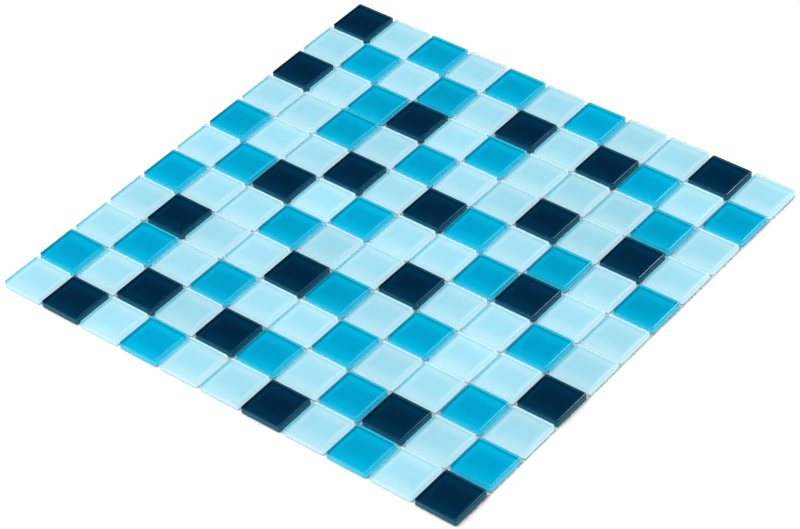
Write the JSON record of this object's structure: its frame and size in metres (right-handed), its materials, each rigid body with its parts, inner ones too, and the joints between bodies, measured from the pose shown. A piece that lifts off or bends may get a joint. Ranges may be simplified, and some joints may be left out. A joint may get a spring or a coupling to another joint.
{
  "type": "mosaic tile sheet",
  "caption": "Square sheet of back-coloured glass mosaic tiles in a random blend of blues, held on a net, for bedding in adhesive and grouting on a wall or floor.",
  "frame": {"origin": "middle of the sheet, at the underside of its backing net, where it lies on a level floor", "axes": "+Z towards the tiles' faces; +X along the rows of tiles; +Y from the first row to the last"},
  "size_m": [0.2979, 0.298, 0.0044],
  "materials": {
    "pale_glass": "polished",
    "turquoise_glass": "polished",
    "navy_glass": "polished",
    "net_thread": "matte"
  },
  "bodies": {
    "root": {"row_01_pale_tiles": "pale_glass", "row_01_navy_tiles": "navy_glass", "row_01_turquoise_tiles": "turquoise_glass", "row_02_turquoise_tiles": "turquoise_glass", "row_02_pale_tiles": "pale_glass", "row_02_navy_tiles": "navy_glass", "row_03_pale_tiles": "pale_glass", "row_03_turquoise_tiles": "turquoise_glass", "row_04_pale_tiles": "pale_glass", "row_04_navy_tiles": "navy_glass", "row_04_turquoise_tiles": "turquoise_glass", "row_05_turquoise_tiles": "turquoise_glass", "row_05_pale_tiles": "pale_glass", "row_05_navy_tiles": "navy_glass", "row_06_pale_tiles": "pale_glass", "row_06_turquoise_tiles": "turquoise_glass", "row_06_navy_tiles": "navy_glass", "row_07_turquoise_tiles": "turquoise_glass", "row_07_pale_tiles": "pale_glass", "row_07_navy_tiles": "navy_glass", "row_08_pale_tiles": "pale_glass", "row_08_turquoise_tiles": "turquoise_glass", "row_08_navy_tiles": "navy_glass", "row_09_navy_tiles": "navy_glass", "row_09_pale_tiles": "pale_glass", "row_09_turquoise_tiles": "turquoise_glass", "row_10_pale_tiles": "pale_glass", "row_10_turquoise_tiles": "turquoise_glass", "row_10_navy_tiles": "navy_glass", "row_11_navy_tiles": "navy_glass", "row_11_pale_tiles": "pale_glass", "row_11_turquoise_tiles": "turquoise_glass", "backing_net_warp": "net_thread", "backing_net_weft": "net_thread"}
  },
  "joints": []
}
